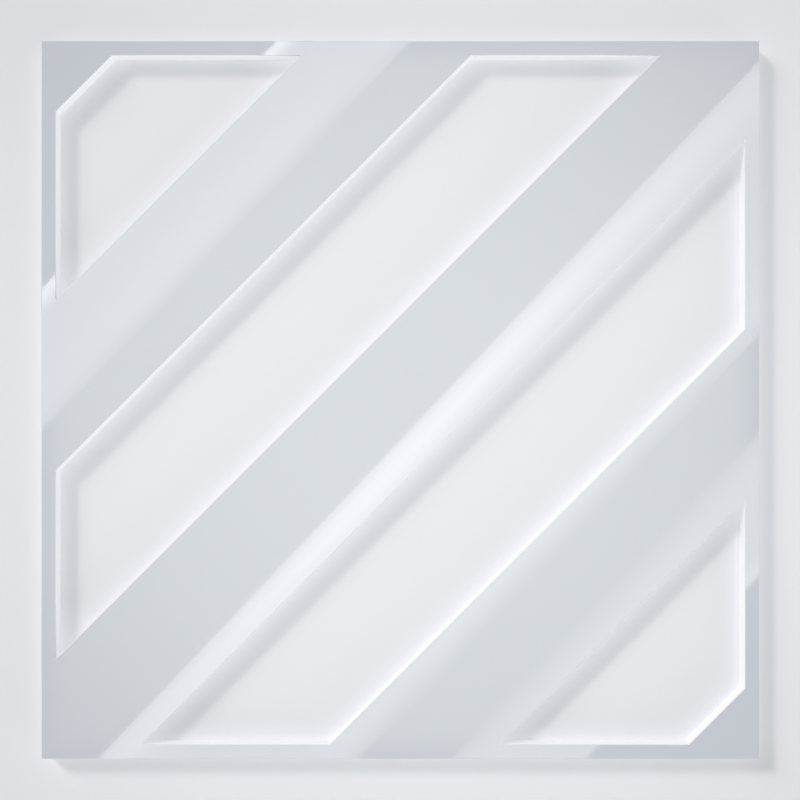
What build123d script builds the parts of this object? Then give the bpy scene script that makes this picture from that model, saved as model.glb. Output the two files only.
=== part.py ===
from build123d import *

import math
import os

# Acrylic wall panel: one square cast sheet with blind diagonal recesses in its face.
# The back lies on Z = 0 and the face looks along +Z. The origin is the centre of the back.
# The bands and recesses run along the X = Y diagonal, and follow one another across it
# from the corner at -X, +Y to the corner at +X, -Y.

# Driving dimensions, millimetres
PANEL_SIDE = 600.0
PANEL_THICKNESS = 15.0
# Sheet left under each recess
FLOOR_THICKNESS = 2.0
# Rim left between the recesses and the panel's edges
BORDER_WIDTH = 12.3
# Raised band between two recesses, measured square across it
BAND_WIDTH = 101.0
# Recesses in the row that crosses the panel from corner to corner
RECESS_COUNT = 4
# Eased arris round the polished face and the recess rims
ARRIS_RADIUS = 0.5

# A whole number of pitches spans the corner-to-corner diagonal, so a half band is left at
# both ends and the bands of neighbouring panels meet.
DIAGONAL = PANEL_SIDE * math.sqrt(2)
PITCH = DIAGONAL / RECESS_COUNT
RECESS_WIDTH = PITCH - BAND_WIDTH
RECESS_DEPTH = PANEL_THICKNESS - FLOOR_THICKNESS
FIELD_SIDE = PANEL_SIDE - 2 * BORDER_WIDTH


def sheet_blank() -> Part:
    """The square sheet, back on Z = 0."""
    return extrude(Rectangle(PANEL_SIDE, PANEL_SIDE), PANEL_THICKNESS)


def recess_outline(index: int) -> Sketch:
    """Plan of one recess: a diagonal strip trimmed by the border."""
    across = (index + 0.5) * PITCH - DIAGONAL / 2
    strip = Rot(0, 0, -45) * Pos(across, 0) * Rectangle(RECESS_WIDTH, DIAGONAL)
    field = Rectangle(FIELD_SIDE, FIELD_SIDE)
    return strip & field


def recess_cutter(index: int) -> Part:
    """Solid that is sunk into the face to leave one recess."""
    return Pos(0, 0, FLOOR_THICKNESS) * extrude(recess_outline(index), RECESS_DEPTH)


def wall_panel() -> Part:
    """The sheet with its recesses sunk and the edges of its face eased."""
    panel = sheet_blank()
    for index in range(RECESS_COUNT):
        panel -= recess_cutter(index)
    face_edges = panel.edges().group_by(Axis.Z)[-1]
    return fillet(face_edges, ARRIS_RADIUS)


panel = wall_panel()
panel.label = "panel"

os.makedirs("parts", exist_ok=True)
export_step(panel, "parts/panel.step")
print("panel", panel.bounding_box().size, "volume", round(panel.volume), "mm3")
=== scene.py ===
"""Looks of the acrylic wall panel: its finishes, the studio round it and the camera above it."""

import logging
import math
from dataclasses import dataclass
from enum import Enum
from typing import Any, Union

import bpy
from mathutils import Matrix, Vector


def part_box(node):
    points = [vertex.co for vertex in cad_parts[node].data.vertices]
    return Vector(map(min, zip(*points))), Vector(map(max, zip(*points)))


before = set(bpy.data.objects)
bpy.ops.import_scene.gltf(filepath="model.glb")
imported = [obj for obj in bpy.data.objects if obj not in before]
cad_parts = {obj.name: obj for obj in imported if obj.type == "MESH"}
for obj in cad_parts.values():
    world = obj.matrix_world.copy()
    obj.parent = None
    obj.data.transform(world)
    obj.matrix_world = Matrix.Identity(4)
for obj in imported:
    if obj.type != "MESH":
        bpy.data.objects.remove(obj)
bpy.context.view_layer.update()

PANEL_NODE = "panel"
MILLIMETRE = 0.001

Pair = tuple[float, float]
Triple = tuple[float, float, float]
Colour = Triple
Operand = Union["Value", float]

BLACK: Colour = (0.0, 0.0, 0.0)
SCRIM_TINT: Colour = (1.0, 1.0, 0.90)
STRIP_TINT: Colour = (1.0, 1.0, 0.97)

log = logging.getLogger("wall_panel")


class Tint(Enum):
    """Colour of a lamp's light."""

    WARM = (1.05, 0.985, 0.985)
    COOL = (0.985, 1.005, 1.005)


class Value:
    """A number on a shader socket that takes part in Python arithmetic."""

    def __init__(self, board: "Board", socket: bpy.types.NodeSocket | None) -> None:
        """Keeps the socket and the board that new nodes go on."""
        self.board = board
        self.socket = socket

    def _math(self, operation: str, left: Operand, right: Operand) -> "Value":
        """Adds one Math node.

        Args:
            operation: The Math node's operation.
            left: First operand.
            right: Second operand.

        Returns:
            The node's result.
        """
        return self.board.node("ShaderNodeMath", {"operation": operation}, {0: left, 1: right})

    def __add__(self, other: Operand) -> "Value":
        """Sum."""
        return self._math("ADD", self, other)

    def __radd__(self, other: Operand) -> "Value":
        """Sum, with the number first."""
        return self._math("ADD", other, self)

    def __sub__(self, other: Operand) -> "Value":
        """Difference."""
        return self._math("SUBTRACT", self, other)

    def __rsub__(self, other: Operand) -> "Value":
        """Difference, with the number first."""
        return self._math("SUBTRACT", other, self)

    def __mul__(self, other: Operand) -> "Value":
        """Product."""
        return self._math("MULTIPLY", self, other)

    def __rmul__(self, other: Operand) -> "Value":
        """Product, with the number first."""
        return self._math("MULTIPLY", other, self)

    def __truediv__(self, other: Operand) -> "Value":
        """Quotient."""
        return self._math("DIVIDE", self, other)

    def __rtruediv__(self, other: Operand) -> "Value":
        """Quotient, with the number first."""
        return self._math("DIVIDE", other, self)

    def __pow__(self, other: Operand) -> "Value":
        """Power."""
        return self._math("POWER", self, other)

    def __rpow__(self, other: Operand) -> "Value":
        """Power, with the number first."""
        return self._math("POWER", other, self)


@dataclass(frozen=True)
class Grain:
    """One scale of fractal noise: features in a metre, octaves and factors on the three axes."""

    per_metre: float
    detail: float
    stretch: Triple = (1.0, 1.0, 1.0)


class Board:
    """A node tree that is being filled."""

    def __init__(self, tree: bpy.types.NodeTree) -> None:
        """Empties the tree."""
        self.tree = tree
        tree.nodes.clear()

    def node(
        self,
        kind: str,
        settings: dict[str, Any] | None = None,
        inputs: dict[Any, Any] | None = None,
        output: Any = 0,
    ) -> Value:
        """Adds one node.

        Args:
            kind: The node's type name.
            settings: Properties, set before the sockets.
            inputs: Socket names or numbers, each with a value, a colour or a link.
            output: Name or number of the socket that is wanted.

        Returns:
            That output, ready for arithmetic. It is empty for a node that closes the tree.
        """
        made = self.tree.nodes.new(kind)
        for name, setting in (settings or {}).items():
            if name == "stops":
                self._set_stops(made.color_ramp, setting)
            else:
                setattr(made, name, setting)
        for name, given in (inputs or {}).items():
            if isinstance(given, Value):
                self.tree.links.new(given.socket, made.inputs[name])
            else:
                made.inputs[name].default_value = given
        return Value(self, made.outputs[output] if len(made.outputs) else None)

    @staticmethod
    def _set_stops(ramp: bpy.types.ColorRamp, stops: list[Pair]) -> None:
        """Gives a ramp its stops.

        Args:
            ramp: The ramp, which comes with two stops.
            stops: Pairs of place and grey level, from 0 to 1.
        """
        while len(ramp.elements) < len(stops):
            ramp.elements.new(1.0)
        for element, (place, level) in zip(ramp.elements, stops):
            element.position = place
            element.color = (level, level, level, 1.0)

    def place(self) -> tuple[Value, Value, Value, Value]:
        """Object coordinates.

        Returns:
            The whole vector, then its X, Y and Z, in metres.
        """
        point = self.node("ShaderNodeTexCoord", output="Object")
        axes = [self.node("ShaderNodeSeparateXYZ", None, {0: point}, n) for n in range(3)]
        return point, *axes

    def ramp(self, value: Operand, low: float, high: float, smooth: bool = True) -> Value:
        """A rise from 0 to 1.

        Args:
            value: What is compared.
            low: Where the rise starts.
            high: Where it ends, which may be below low for a fall.
            smooth: Whether the rise eases in and out.

        Returns:
            A number from 0 to 1.
        """
        kind = "SMOOTHSTEP" if smooth else "LINEAR"
        names = {"Value": value, "From Min": low, "From Max": high, "To Min": 0.0, "To Max": 1.0}
        return self.node("ShaderNodeMapRange", {"interpolation_type": kind, "clamp": True}, names)

    def mix(self, factor: Operand, first: Any, second: Any, blend: str = "MIX") -> Value:
        """Mixes two colours.

        Args:
            factor: Share of the second colour.
            first: Colour or link.
            second: Colour or link.
            blend: The Mix node's blend type.

        Returns:
            The mixed colour.
        """
        # A Mix node's colours go in at sockets 6 and 7 and come out at 2.
        settings = {"data_type": "RGBA", "blend_type": blend}
        return self.node("ShaderNodeMix", settings, {0: factor, 6: first, 7: second}, 2)

    def tinted(self, strength: Value, colour: Colour) -> Value:
        """A colour times a number.

        Args:
            strength: The number.
            colour: The colour.

        Returns:
            The scaled colour.
        """
        channels = {n: strength * part for n, part in enumerate(colour)}
        return self.node("ShaderNodeCombineColor", None, channels)

    def noise(self, point: Value, grain: Grain) -> Value:
        """Fractal noise.

        Args:
            point: Vector that is looked up.
            grain: Its scale.

        Returns:
            A number round 0.5.
        """
        spot = self.node("ShaderNodeVectorMath", {"operation": "MULTIPLY"}, {0: point, 1: grain.stretch})
        inputs = {"Vector": spot, "Scale": grain.per_metre, "Detail": grain.detail}
        return self.node("ShaderNodeTexNoise", None, inputs)


def rgba(colour: Colour) -> tuple[float, float, float, float]:
    """The colour with full alpha."""
    return *colour, 1.0


def new_material(name: str) -> tuple[bpy.types.Material, Board]:
    """An empty node material.

    Args:
        name: Its name.

    Returns:
        The material and its board.
    """
    material = bpy.data.materials.new(name)
    material.use_nodes = True
    return material, Board(material.node_tree)


@dataclass(frozen=True)
class Zones:
    """Where the panel's parts are: a point in object space, then shares from 0 to 1."""

    point: Value
    face: Value
    upright: Value
    edge: Value
    wall: Value
    sunk: Value
    arris: Value
    outer: Value
    tips: Value
    far_tips: Value


@dataclass(frozen=True)
class AcrylicFinish:
    """Translucent cast acrylic: polished on its face, fine matte in the recesses, sawn at its edges.

    The recess walls, the arrises, the outer edges and the tips of the recesses, where two walls run
    together,
    glow with painted light: an emission that stands in for light seeping out of the translucent sheet.
    """

    face_colour: Colour = (0.592, 0.627, 0.674)
    matte_colour: Colour = (0.845, 0.853, 0.885)
    # painted shade: the walls are darker than the matte floors, and their painted glow lifts them again so
    # that lit and shaded walls come out nearly alike
    wall_shaded_colour: Colour = (0.600, 0.614, 0.624)
    # painted shade: the arrises are darker, and their painted glow lifts them again so that lit and shaded
    # rims come out nearly alike
    arris_shaded_colour: Colour = (0.490, 0.505, 0.520)
    # painted light: emission colour and strengths that make the walls, outer edges, arrises and recess tips
    # glow, and how much the tips lift or dim it
    painted_glow_colour: Colour = (0.97, 1.0, 1.03)
    wall_painted_glow: float = 0.300
    edge_painted_glow: float = 0.32
    arris_painted_glow: float = 0.35
    outer_arris_painted_glow: float = 0.20
    tip_painted_glow: float = 0.090
    far_tip_painted_glow: float = 0.038
    tip_reach: float = 36.0 * MILLIMETRE
    tip_dims_wall: float = 0.15
    wall_dims_tip: float = 0.5
    far_tip_dims_arris: float = 0.3
    shade: float = 0.992
    cloud_shade: float = 0.012
    stipple_shade: float = 0.006
    polish_roughness: float = 0.03
    haze: float = 0.03
    matte_roughness: float = 0.60
    cloud_roughness: float = 0.1
    matte_gloss: float = 0.06
    edge_roughness: float = 0.38
    refraction: float = 1.49
    stipple_depth: float = 0.012 * MILLIMETRE
    cutter_depth: float = 0.010 * MILLIMETRE
    saw_depth: float = 0.020 * MILLIMETRE
    cloud_grain: Grain = Grain(9.0, 3.0)
    haze_grain: Grain = Grain(55.0, 4.0)
    stipple_grain: Grain = Grain(2400.0, 2.0)
    cutter_grain: Grain = Grain(900.0, 2.0, (1.0, 1.0, 0.02))
    saw_grain: Grain = Grain(1500.0, 3.0, (0.01, 0.01, 1.0))

    def colour(self, board: Board, zones: Zones, cloud: Value, stipple: Value) -> Value:
        """The colour, with faint clouds and stipple.

        Args:
            board: Where nodes go.
            zones: Where the panel's parts are.
            cloud: Wide noise.
            stipple: Fine noise.

        Returns:
            The colour.
        """
        # the darkened wall and arris colours are painted shade that the painted glow lifts again
        colour = board.mix(zones.wall + zones.edge, rgba(self.matte_colour), rgba(self.wall_shaded_colour))
        colour = board.mix(zones.upright, rgba(self.arris_shaded_colour), colour)
        colour = board.mix(zones.face, colour, rgba(self.face_colour))
        shade = self.shade + cloud * self.cloud_shade
        shade = shade + stipple * (1.0 - zones.face) * self.stipple_shade
        tone = board.node("ShaderNodeCombineColor", None, {0: shade, 1: shade, 2: shade})
        return board.mix(1.0, colour, tone, "MULTIPLY")

    def relief(self, board: Board, zones: Zones, stipple: Value) -> Value:
        """Stipple of the matte surfaces, cutter marks on the walls and saw marks on the edges.

        Args:
            board: Where nodes go.
            zones: Where the panel's parts are.
            stipple: Fine noise.

        Returns:
            The bumped normal.
        """
        cutter = board.noise(zones.point, self.cutter_grain)
        saw = board.noise(zones.point, self.saw_grain)
        height = stipple * self.stipple_depth * (1.0 - zones.wall - zones.edge)
        height = height + cutter * self.cutter_depth * zones.wall + saw * self.saw_depth * zones.edge
        height = height * (1.0 - zones.face)
        return board.node("ShaderNodeBump", None, {"Strength": 1.0, "Distance": 1.0, "Height": height})

    def glow(self, board: Board, zones: Zones) -> Value:
        """Painted light: the emission that makes walls, edges, arrises and recess tips glow.

        Args:
            board: Where nodes go.
            zones: Where the panel's parts are.

        Returns:
            The colour of that light.
        """
        # painted light: emission on walls and edges, lifted in the recess tips and on the arrises
        dimming = (zones.tips + zones.far_tips) * self.tip_dims_wall
        painted_light = zones.wall * self.wall_painted_glow * (1.0 - dimming) + zones.edge * self.edge_painted_glow
        tip_painted_light = zones.tips * self.tip_painted_glow + zones.far_tips * self.far_tip_painted_glow
        painted_light = painted_light + zones.sunk * (1.0 - zones.wall * self.wall_dims_tip) * tip_painted_light
        arris_painted_light = self.arris_painted_glow + zones.outer * (self.outer_arris_painted_glow - self.arris_painted_glow)
        arris_painted_light = arris_painted_light * (1.0 - zones.tips) * (1.0 - zones.far_tips * self.far_tip_dims_arris)
        return board.tinted(painted_light + zones.arris * arris_painted_light, self.painted_glow_colour)

    def material(self, panel: "WallPanel") -> bpy.types.Material:
        """Makes the panel's one material.

        Args:
            panel: Gives the zones.

        Returns:
            The finished material.
        """
        material, board = new_material("acrylic")
        zones = panel.zones(board, self.tip_reach)
        cloud = board.noise(zones.point, self.cloud_grain)
        haze = board.noise(zones.point, self.haze_grain)
        stipple = board.noise(zones.point, self.stipple_grain)
        roughness = self.matte_roughness + (cloud - 0.5) * self.cloud_roughness
        roughness = roughness + zones.edge * (self.edge_roughness - self.matte_roughness)
        inputs = {
            "Base Color": self.colour(board, zones, cloud, stipple),
            "Roughness": roughness,
            "IOR": self.refraction,
            "Specular IOR Level": self.matte_gloss,
            "Coat Weight": zones.face * (1.0 - haze * self.haze),
            "Coat Roughness": self.polish_roughness,
            "Coat IOR": self.refraction,
            # painted light: walls, edges, arrises and recess tips glow though they are no lamp
            "Emission Color": self.glow(board, zones),
            "Emission Strength": 1.0,
            "Normal": self.relief(board, zones, stipple),
        }
        shader = board.node("ShaderNodeBsdfPrincipled", None, inputs)
        board.node("ShaderNodeOutputMaterial", None, {"Surface": shader})
        return material


@dataclass(frozen=True)
class PaintFinish:
    """Matt paint of the studio floor."""

    colour: Colour = (0.846, 0.857, 0.888)
    roughness: float = 0.9

    def material(self) -> bpy.types.Material:
        """Makes the floor's material.

        Returns:
            The finished material.
        """
        material, board = new_material("floor_paint")
        inputs = {"Base Color": rgba(self.colour), "Roughness": self.roughness}
        shader = board.node("ShaderNodeBsdfPrincipled", None, inputs)
        board.node("ShaderNodeOutputMaterial", None, {"Surface": shader})
        return material


@dataclass
class WallPanel:
    """The one-piece panel, as the frame brings it.

    A fade is a pair: where a zone starts and where it is full. Those of the face, the upright surfaces
    and the outer arris are counted in arris radii from the top or the outer edge, that of the sunk
    surfaces in floor thicknesses, and the others in metres.
    """

    finish: AcrylicFinish
    arris: float = 0.5 * MILLIMETRE
    floor: float = 2.0 * MILLIMETRE
    border: float = 12.3 * MILLIMETRE
    band: float = 101.0 * MILLIMETRE
    recesses: int = 4
    face_fade: Pair = (0.08, 0.01)
    upright_fade: Pair = (0.9, 1.1)
    outer_fade: Pair = (2.0, 1.5)
    sunk_fade: Pair = (0.5, 0.9)
    edge_fade: Pair = (0.3 * MILLIMETRE, 0.2 * MILLIMETRE)
    wall_fade: Pair = (0.1 * MILLIMETRE, 0.5 * MILLIMETRE)

    def __post_init__(self) -> None:
        """Reads the panel's box from the frame."""
        low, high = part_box(PANEL_NODE)
        self.top = high.z
        self.side = high.x - low.x
        self.inner = self.side / 2 - self.border
        self.pitch = self.side * math.sqrt(2) / self.recesses

    def tips(self, board: Board, right: Value, up: Value, reach: float) -> Value:
        """Nearness to the recess tips at the left and upper borders.

        With both places negated, it is nearness to those at the right and lower borders.

        Args:
            board: Where nodes go.
            right: Place sideways, from the panel's centre.
            up: Place lengthways, from the panel's centre.
            reach: Distance at which nearness is 0.

        Returns:
            A number from 0 to 1.
        """
        gaps = {0: right + self.inner, 1: self.inner - up}
        border = board.node("ShaderNodeMath", {"operation": "MINIMUM"}, gaps)
        stripe = ((right - up) / math.sqrt(2) + self.band / 2) / self.pitch
        phase = board.node("ShaderNodeMath", {"operation": "FRACT"}, {0: stripe})
        return board.ramp(border + (1.0 - phase) * self.pitch, reach, 0.0, False)

    def zones(self, board: Board, tip_reach: float) -> Zones:
        """Tells the panel's parts from one another.

        Args:
            board: Where nodes go.
            tip_reach: How far a recess tip reaches.

        Returns:
            The zones.
        """
        point, right, up, height = board.place()
        squares = {0: right * right, 1: up * up}
        square = board.node("ShaderNodeMath", {"operation": "MAXIMUM"}, squares)
        rim = [(self.side / 2 - inset) ** 2 for inset in self.edge_fade]
        brim = [(self.side / 2 - share * self.arris) ** 2 for share in self.outer_fade]
        face = board.ramp(height, *(self.top - share * self.arris for share in self.face_fade))
        upright = board.ramp(height, *(self.top - share * self.arris for share in self.upright_fade))
        edge = board.ramp(square, *rim) * upright
        inside = upright * (1.0 - edge)
        return Zones(
            point=point,
            face=face,
            upright=upright,
            edge=edge,
            wall=board.ramp(height, *(self.floor + rise for rise in self.wall_fade)) * inside,
            sunk=board.ramp(height, *(share * self.floor for share in self.sunk_fade)) * inside,
            arris=(1.0 - face) * (1.0 - upright),
            outer=board.ramp(square, *brim),
            tips=self.tips(board, right, up, tip_reach),
            far_tips=self.tips(board, right * -1.0, up * -1.0, tip_reach),
        )

    def dress(self) -> bpy.types.Object:
        """Puts the acrylic on the panel.

        Returns:
            The panel's object.
        """
        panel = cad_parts[PANEL_NODE]
        material = self.finish.material(self)
        for slot in panel.material_slots:
            slot.material = material
        return panel


@dataclass
class StudioFloor:
    """Wide pale floor that the panel lies on."""

    finish: PaintFinish
    side: float = 14.0
    gap: float = 0.05 * MILLIMETRE

    def build(self) -> bpy.types.Object:
        """Adds the floor just under the panel.

        Returns:
            The floor's object.
        """
        bpy.ops.object.select_all(action="DESELECT")
        bpy.ops.mesh.primitive_plane_add(size=self.side, location=(0, 0, -self.gap))
        floor = bpy.context.object
        floor.name = "studio_floor"
        floor.data.materials.append(self.finish.material())
        return floor


@dataclass
class PhotoCamera:
    """Camera straight above the panel, with the panel's upper edge to the top of the picture."""

    panel: WallPanel
    lens: float = 50.0
    sensor: float = 36.0
    frame_pixels: float = 800.0
    panel_pixels: float = 718.2
    offset_pixels: Pair = (0.4, -0.05)

    @property
    def metres_per_pixel(self) -> float:
        """Length on the face that one picture pixel covers."""
        return self.panel.side / self.panel_pixels

    @property
    def height(self) -> float:
        """Height above the face."""
        return self.frame_pixels * self.metres_per_pixel * self.lens / self.sensor

    def build(self) -> bpy.types.Object:
        """Adds the camera and makes it the scene's.

        Returns:
            The camera's object.
        """
        right, down = (n * self.metres_per_pixel for n in self.offset_pixels)
        place = (-right, down, self.panel.top + self.height)
        bpy.ops.object.camera_add(location=place, rotation=(0, 0, 0))
        camera = bpy.context.object
        camera.name = "photo_camera"
        camera.data.lens = self.lens
        camera.data.sensor_width = self.sensor
        bpy.context.scene.camera = camera
        return camera


@dataclass(frozen=True)
class Glow:
    """Brightness at one place across a strip softbox."""

    place: float
    level: float


@dataclass(frozen=True)
class Core:
    """Bright tube behind the cloth of a strip softbox: width is across it, middle and reach along it."""

    place: float
    level: float
    width: float
    middle: float
    reach: float


@dataclass
class OverheadCard:
    """Flat softbox overhead that shows in the polished face and nowhere else.

    Places are given where they show in the face, in picture pixels from the panel's centre, across and
    along the band that the card makes there. They are carried up to the card along the mirrored sight
    lines. Brightness is what the card has beyond the pale surround.
    """

    name: str
    low: float
    high: float
    tint: Colour
    length: float = 1500.0
    turn: float = math.radians(46.55)
    rise: float = 1.2
    surround: float = 0.775

    def brightness(self, board: Board, across: Value, along: Value) -> Value:
        """Brightness over the card, beyond the surround.

        Args:
            board: Where nodes go.
            across: Pixels across the band.
            along: Pixels along the band.

        Returns:
            The brightness.
        """
        raise NotImplementedError

    def material(self, scale: float) -> bpy.types.Material:
        """Makes the card's glow.

        Args:
            scale: Metres on the card for one pixel on the face.

        Returns:
            The glowing material.
        """
        material, board = new_material(self.name)
        _, right, up, _ = board.place()
        across = right / scale + (self.low + self.high) / 2
        strength = self.brightness(board, across, up / scale)
        channels = {n: strength * part + self.surround for n, part in enumerate(self.tint)}
        glow = board.node("ShaderNodeCombineColor", None, channels)
        inputs = {"Base Color": rgba(BLACK), "Emission Color": glow, "Emission Strength": 1.0}
        shader = board.node("ShaderNodeBsdfPrincipled", None, inputs)
        board.node("ShaderNodeOutputMaterial", None, {"Surface": shader})
        material.cycles.emission_sampling = "NONE"
        return material

    def build(self, camera: PhotoCamera) -> bpy.types.Object:
        """Hangs the card.

        Args:
            camera: Its height gives the mirrored sight lines.

        Returns:
            The card's object.
        """
        scale = camera.metres_per_pixel * (1 + self.rise / camera.height)
        centre = (self.low + self.high) / 2 * scale
        place = (
            centre * math.sin(self.turn),
            -centre * math.cos(self.turn),
            camera.panel.top + self.rise,
        )
        bpy.ops.object.select_all(action="DESELECT")
        bpy.ops.mesh.primitive_plane_add(size=1.0, location=place, rotation=(0, 0, self.turn - math.pi / 2))
        card = bpy.context.object
        card.name = self.name
        card.scale = ((self.high - self.low) * scale, self.length * scale, 1.0)
        bpy.ops.object.transform_apply(location=False, rotation=False, scale=True)
        card.data.materials.append(self.material(scale))
        card.visible_camera = False
        card.visible_diffuse = False
        card.visible_shadow = False
        card.visible_transmission = False
        return card


@dataclass
class Scrim(OverheadCard):
    """Wide diffuser, brightest in the middle, that ends square with the panel."""

    level: float = 2.4
    reach: float = 540.0
    window: Pair = (365.0, 330.0)

    def brightness(self, board: Board, across: Value, along: Value) -> Value:
        """Brightness over the scrim.

        Args:
            board: Where nodes go.
            across: Pixels across the band.
            along: Pixels along the band.

        Returns:
            The brightness.
        """
        away = (across * across + along * along) / self.reach**2
        crown = 1.0 - board.ramp(away, 0.0, 1.0, False)
        sideways = across * math.sin(self.turn) + along * math.cos(self.turn)
        lengthways = across * math.cos(self.turn) - along * math.sin(self.turn)
        for line in (sideways, lengthways):
            distance = board.node("ShaderNodeMath", {"operation": "ABSOLUTE"}, {0: line})
            crown = crown * board.ramp(distance, *self.window)
        return crown * self.level


@dataclass
class StripSoftbox(OverheadCard):
    """Long strip softbox with tubes behind its cloth."""

    glows: tuple[Glow, ...] = ()
    cores: tuple[Core, ...] = ()

    def brightness(self, board: Board, across: Value, along: Value) -> Value:
        """Brightness over the strip.

        Args:
            board: Where nodes go.
            across: Pixels across the band.
            along: Pixels along the band.

        Returns:
            The brightness.
        """
        peak = max(glow.level for glow in self.glows)
        stops = [((g.place - self.low) / (self.high - self.low), g.level / peak) for g in self.glows]
        share = board.ramp(across, self.low, self.high, False)
        total = board.node("ShaderNodeValToRGB", {"stops": stops}, {0: share}) * peak
        for core in self.cores:
            offset = (across - core.place) / core.width
            distance = (along - core.middle) / core.reach
            total = total + core.level * math.e ** (-1.0 * (offset * offset + distance * distance))
        return total


def strip(name: str, glows: tuple[Glow, ...], cores: tuple[Core, ...]) -> StripSoftbox:
    """A strip softbox from its first glow to its last.

    Args:
        name: The strip's name.
        glows: Brightness across it, in order.
        cores: Its tubes.

    Returns:
        The strip.
    """
    return StripSoftbox(name, glows[0].place, glows[-1].place, STRIP_TINT, glows=glows, cores=cores)


@dataclass
class SunLamp:
    """Far lamp with parallel light."""

    name: str
    towards: Triple
    level: float
    spread: float
    tint: Tint
    distance: float = 3.0

    def build(self) -> bpy.types.Object:
        """Adds the lamp.

        Returns:
            The lamp's object.
        """
        direction = Vector(self.towards).normalized()
        turn = direction.to_track_quat("Z", "Y").to_euler()
        bpy.ops.object.light_add(type="SUN", location=direction * self.distance, rotation=turn)
        lamp = bpy.context.object
        lamp.name = self.name
        lamp.data.energy = self.level * math.pi / direction.z
        lamp.data.angle = math.radians(self.spread)
        lamp.data.color = self.tint.value
        lamp.visible_glossy = False
        return lamp


@dataclass
class OverheadSpot:
    """Far spotlight that looks straight down, with a soft-edged pool of light."""

    name: str
    place: Pair
    height: float
    pool: float
    size: float
    level: float
    tint: Tint

    def build(self) -> bpy.types.Object:
        """Adds the lamp.

        Returns:
            The lamp's object.
        """
        bpy.ops.object.light_add(type="SPOT", location=(*self.place, self.height))
        lamp = bpy.context.object
        lamp.name = self.name
        lamp.data.spot_size = 2 * math.atan(self.pool / self.height)
        lamp.data.spot_blend = 1.0
        lamp.data.shadow_soft_size = self.size / 2
        lamp.data.energy = self.level * 4 * math.pi**2 * self.height**2
        lamp.data.color = self.tint.value
        lamp.visible_glossy = False
        return lamp


@dataclass(frozen=True)
class WallGlow:
    """Light from one wall of the studio."""

    aim: Triple
    level: float


@dataclass
class StudioAir:
    """Light from all round, more of it from the horizon and two walls, pale where the camera sees it."""

    level: float
    horizon: float
    walls: tuple[WallGlow, ...]
    tint: Tint
    gather: float = 3.0
    wall_gather: float = 2.0
    seen: Colour = (0.76, 0.775, 0.80)

    def build(self) -> bpy.types.World:
        """Makes the world.

        Returns:
            The world.
        """
        world = bpy.data.worlds.new("studio_air")
        world.use_nodes = True
        bpy.context.scene.world = world
        board = Board(world.node_tree)
        direction = board.node("ShaderNodeTexCoord", output="Generated")
        height = board.ramp(board.node("ShaderNodeSeparateXYZ", None, {0: direction}, 2), 0.0, 1.0, False)
        light = self.level + (1.0 - height) ** self.gather * self.horizon
        for wall in self.walls:
            facing = board.node(
                "ShaderNodeVectorMath", {"operation": "DOT_PRODUCT"}, {0: direction, 1: wall.aim}, "Value"
            )
            light = light + board.ramp(facing, 0.0, 1.0, False) ** self.wall_gather * wall.level
        around = board.tinted(light, self.tint.value)
        ray = [board.node("ShaderNodeLightPath", output=f"Is {k} Ray") for k in ("Camera", "Glossy")]
        shown = board.ramp(ray[0] + ray[1], 0.0, 1.0, False)
        colour = board.mix(shown, around, rgba(self.seen))
        sky = board.node("ShaderNodeBackground", None, {"Color": colour, "Strength": 1.0})
        board.node("ShaderNodeOutputWorld", None, {"Surface": sky})
        return world


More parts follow.
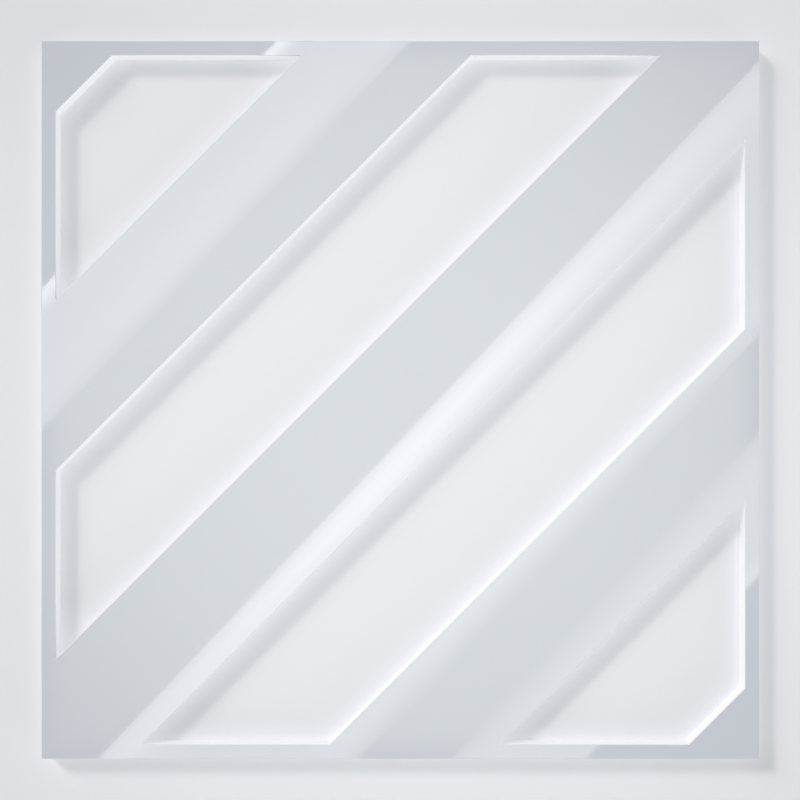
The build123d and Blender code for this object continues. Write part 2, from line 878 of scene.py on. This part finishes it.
def overhead_cards() -> tuple[OverheadCard, ...]:
    """The softboxes that show in the face.

    Returns:
        The scrim and the three strips.
    """
    upper_glows = (
        Glow(-336.7, 8.0),
        Glow(-331.0, 7.6),
        Glow(-325.0, 5.2),
        Glow(-320.0, 3.8),
        Glow(-314.0, 3.4),
        Glow(-250.0, 3.3),
        Glow(-239.5, 2.6),
    )
    middle_glows = (
        Glow(27.5, 3.6),
        Glow(70.0, 3.6),
        Glow(100.0, 3.1),
        Glow(160.0, 3.1),
        Glow(196.0, 3.6),
        Glow(206.0, 3.2),
        Glow(216.0, 2.4),
    )
    lower_glows = (
        Glow(284.0, 2.2),
        Glow(296.0, 3.0),
        Glow(306.0, 3.35),
        Glow(345.0, 3.2),
        Glow(381.5, 3.15),
    )
    upper_cores = (Core(place=-264.0, level=0.75, width=20.0, middle=0.0, reach=230.0),)
    middle_cores = (
        Core(place=43.5, level=4.55, width=17.0, middle=-40.0, reach=375.0),
        Core(place=192.0, level=1.1, width=14.0, middle=0.0, reach=220.0),
    )
    lower_cores = (
        Core(place=375.0, level=1.9, width=6.0, middle=250.0, reach=250.0),
        Core(place=315.0, level=0.5, width=12.0, middle=0.0, reach=150.0),
    )
    low, high = upper_glows[0].place, lower_glows[-1].place
    return (
        Scrim("overhead_scrim", low, high, SCRIM_TINT, rise=1.21),
        strip("upper_strip", upper_glows, upper_cores),
        strip("middle_strip", middle_glows, middle_cores),
        strip("lower_strip", lower_glows, lower_cores),
    )


def studio_lamps() -> tuple[SunLamp | OverheadSpot, ...]:
    """The lamps.

    Returns:
        Three for the key light from the upper left, a low fill and the spot overhead.
    """
    key = (-15.7, 14.5, 13.0)
    bounce = (-17.0, 13.0, 9.2)
    fill = (0.70, -0.68, 0.18)
    return (
        SunLamp("key_lamp", key, level=0.101, spread=10.0, tint=Tint.WARM),
        SunLamp("key_halo", key, level=0.070, spread=20.0, tint=Tint.WARM),
        SunLamp("key_bounce", bounce, level=0.069, spread=24.0, tint=Tint.WARM),
        SunLamp("low_fill", fill, level=0.030, spread=30.0, tint=Tint.COOL),
        OverheadSpot(
            "overhead_spot", (0.01, -0.01), height=5.0, pool=0.58, size=0.4, level=0.204, tint=Tint.COOL
        ),
    )


def studio_air() -> StudioAir:
    """The light from all round.

    Returns:
        The air, with its right and lower walls.
    """
    walls = (WallGlow((1.0, 0.0, 0.0), 0.402), WallGlow((0.0, -1.0, 0.0), 0.665))
    return StudioAir(level=0.338, horizon=0.548, walls=walls, tint=Tint.COOL)


def main() -> None:
    """Dresses the panel and builds the studio round it."""
    logging.basicConfig(level=logging.INFO, format="%(message)s")
    bpy.context.scene.view_settings.view_transform = "Standard"
    panel = WallPanel(AcrylicFinish())
    camera = PhotoCamera(panel)
    log.info("dressed %s", panel.dress().name)
    log.info("camera %s", camera.build().name)
    log.info("floor %s", StudioFloor(PaintFinish()).build().name)
    for card in overhead_cards():
        log.info("card %s", card.build(camera).name)
    for lamp in studio_lamps():
        log.info("lamp %s", lamp.build().name)
    log.info("air %s", studio_air().build().name)


if __name__ == "__main__":
    main()
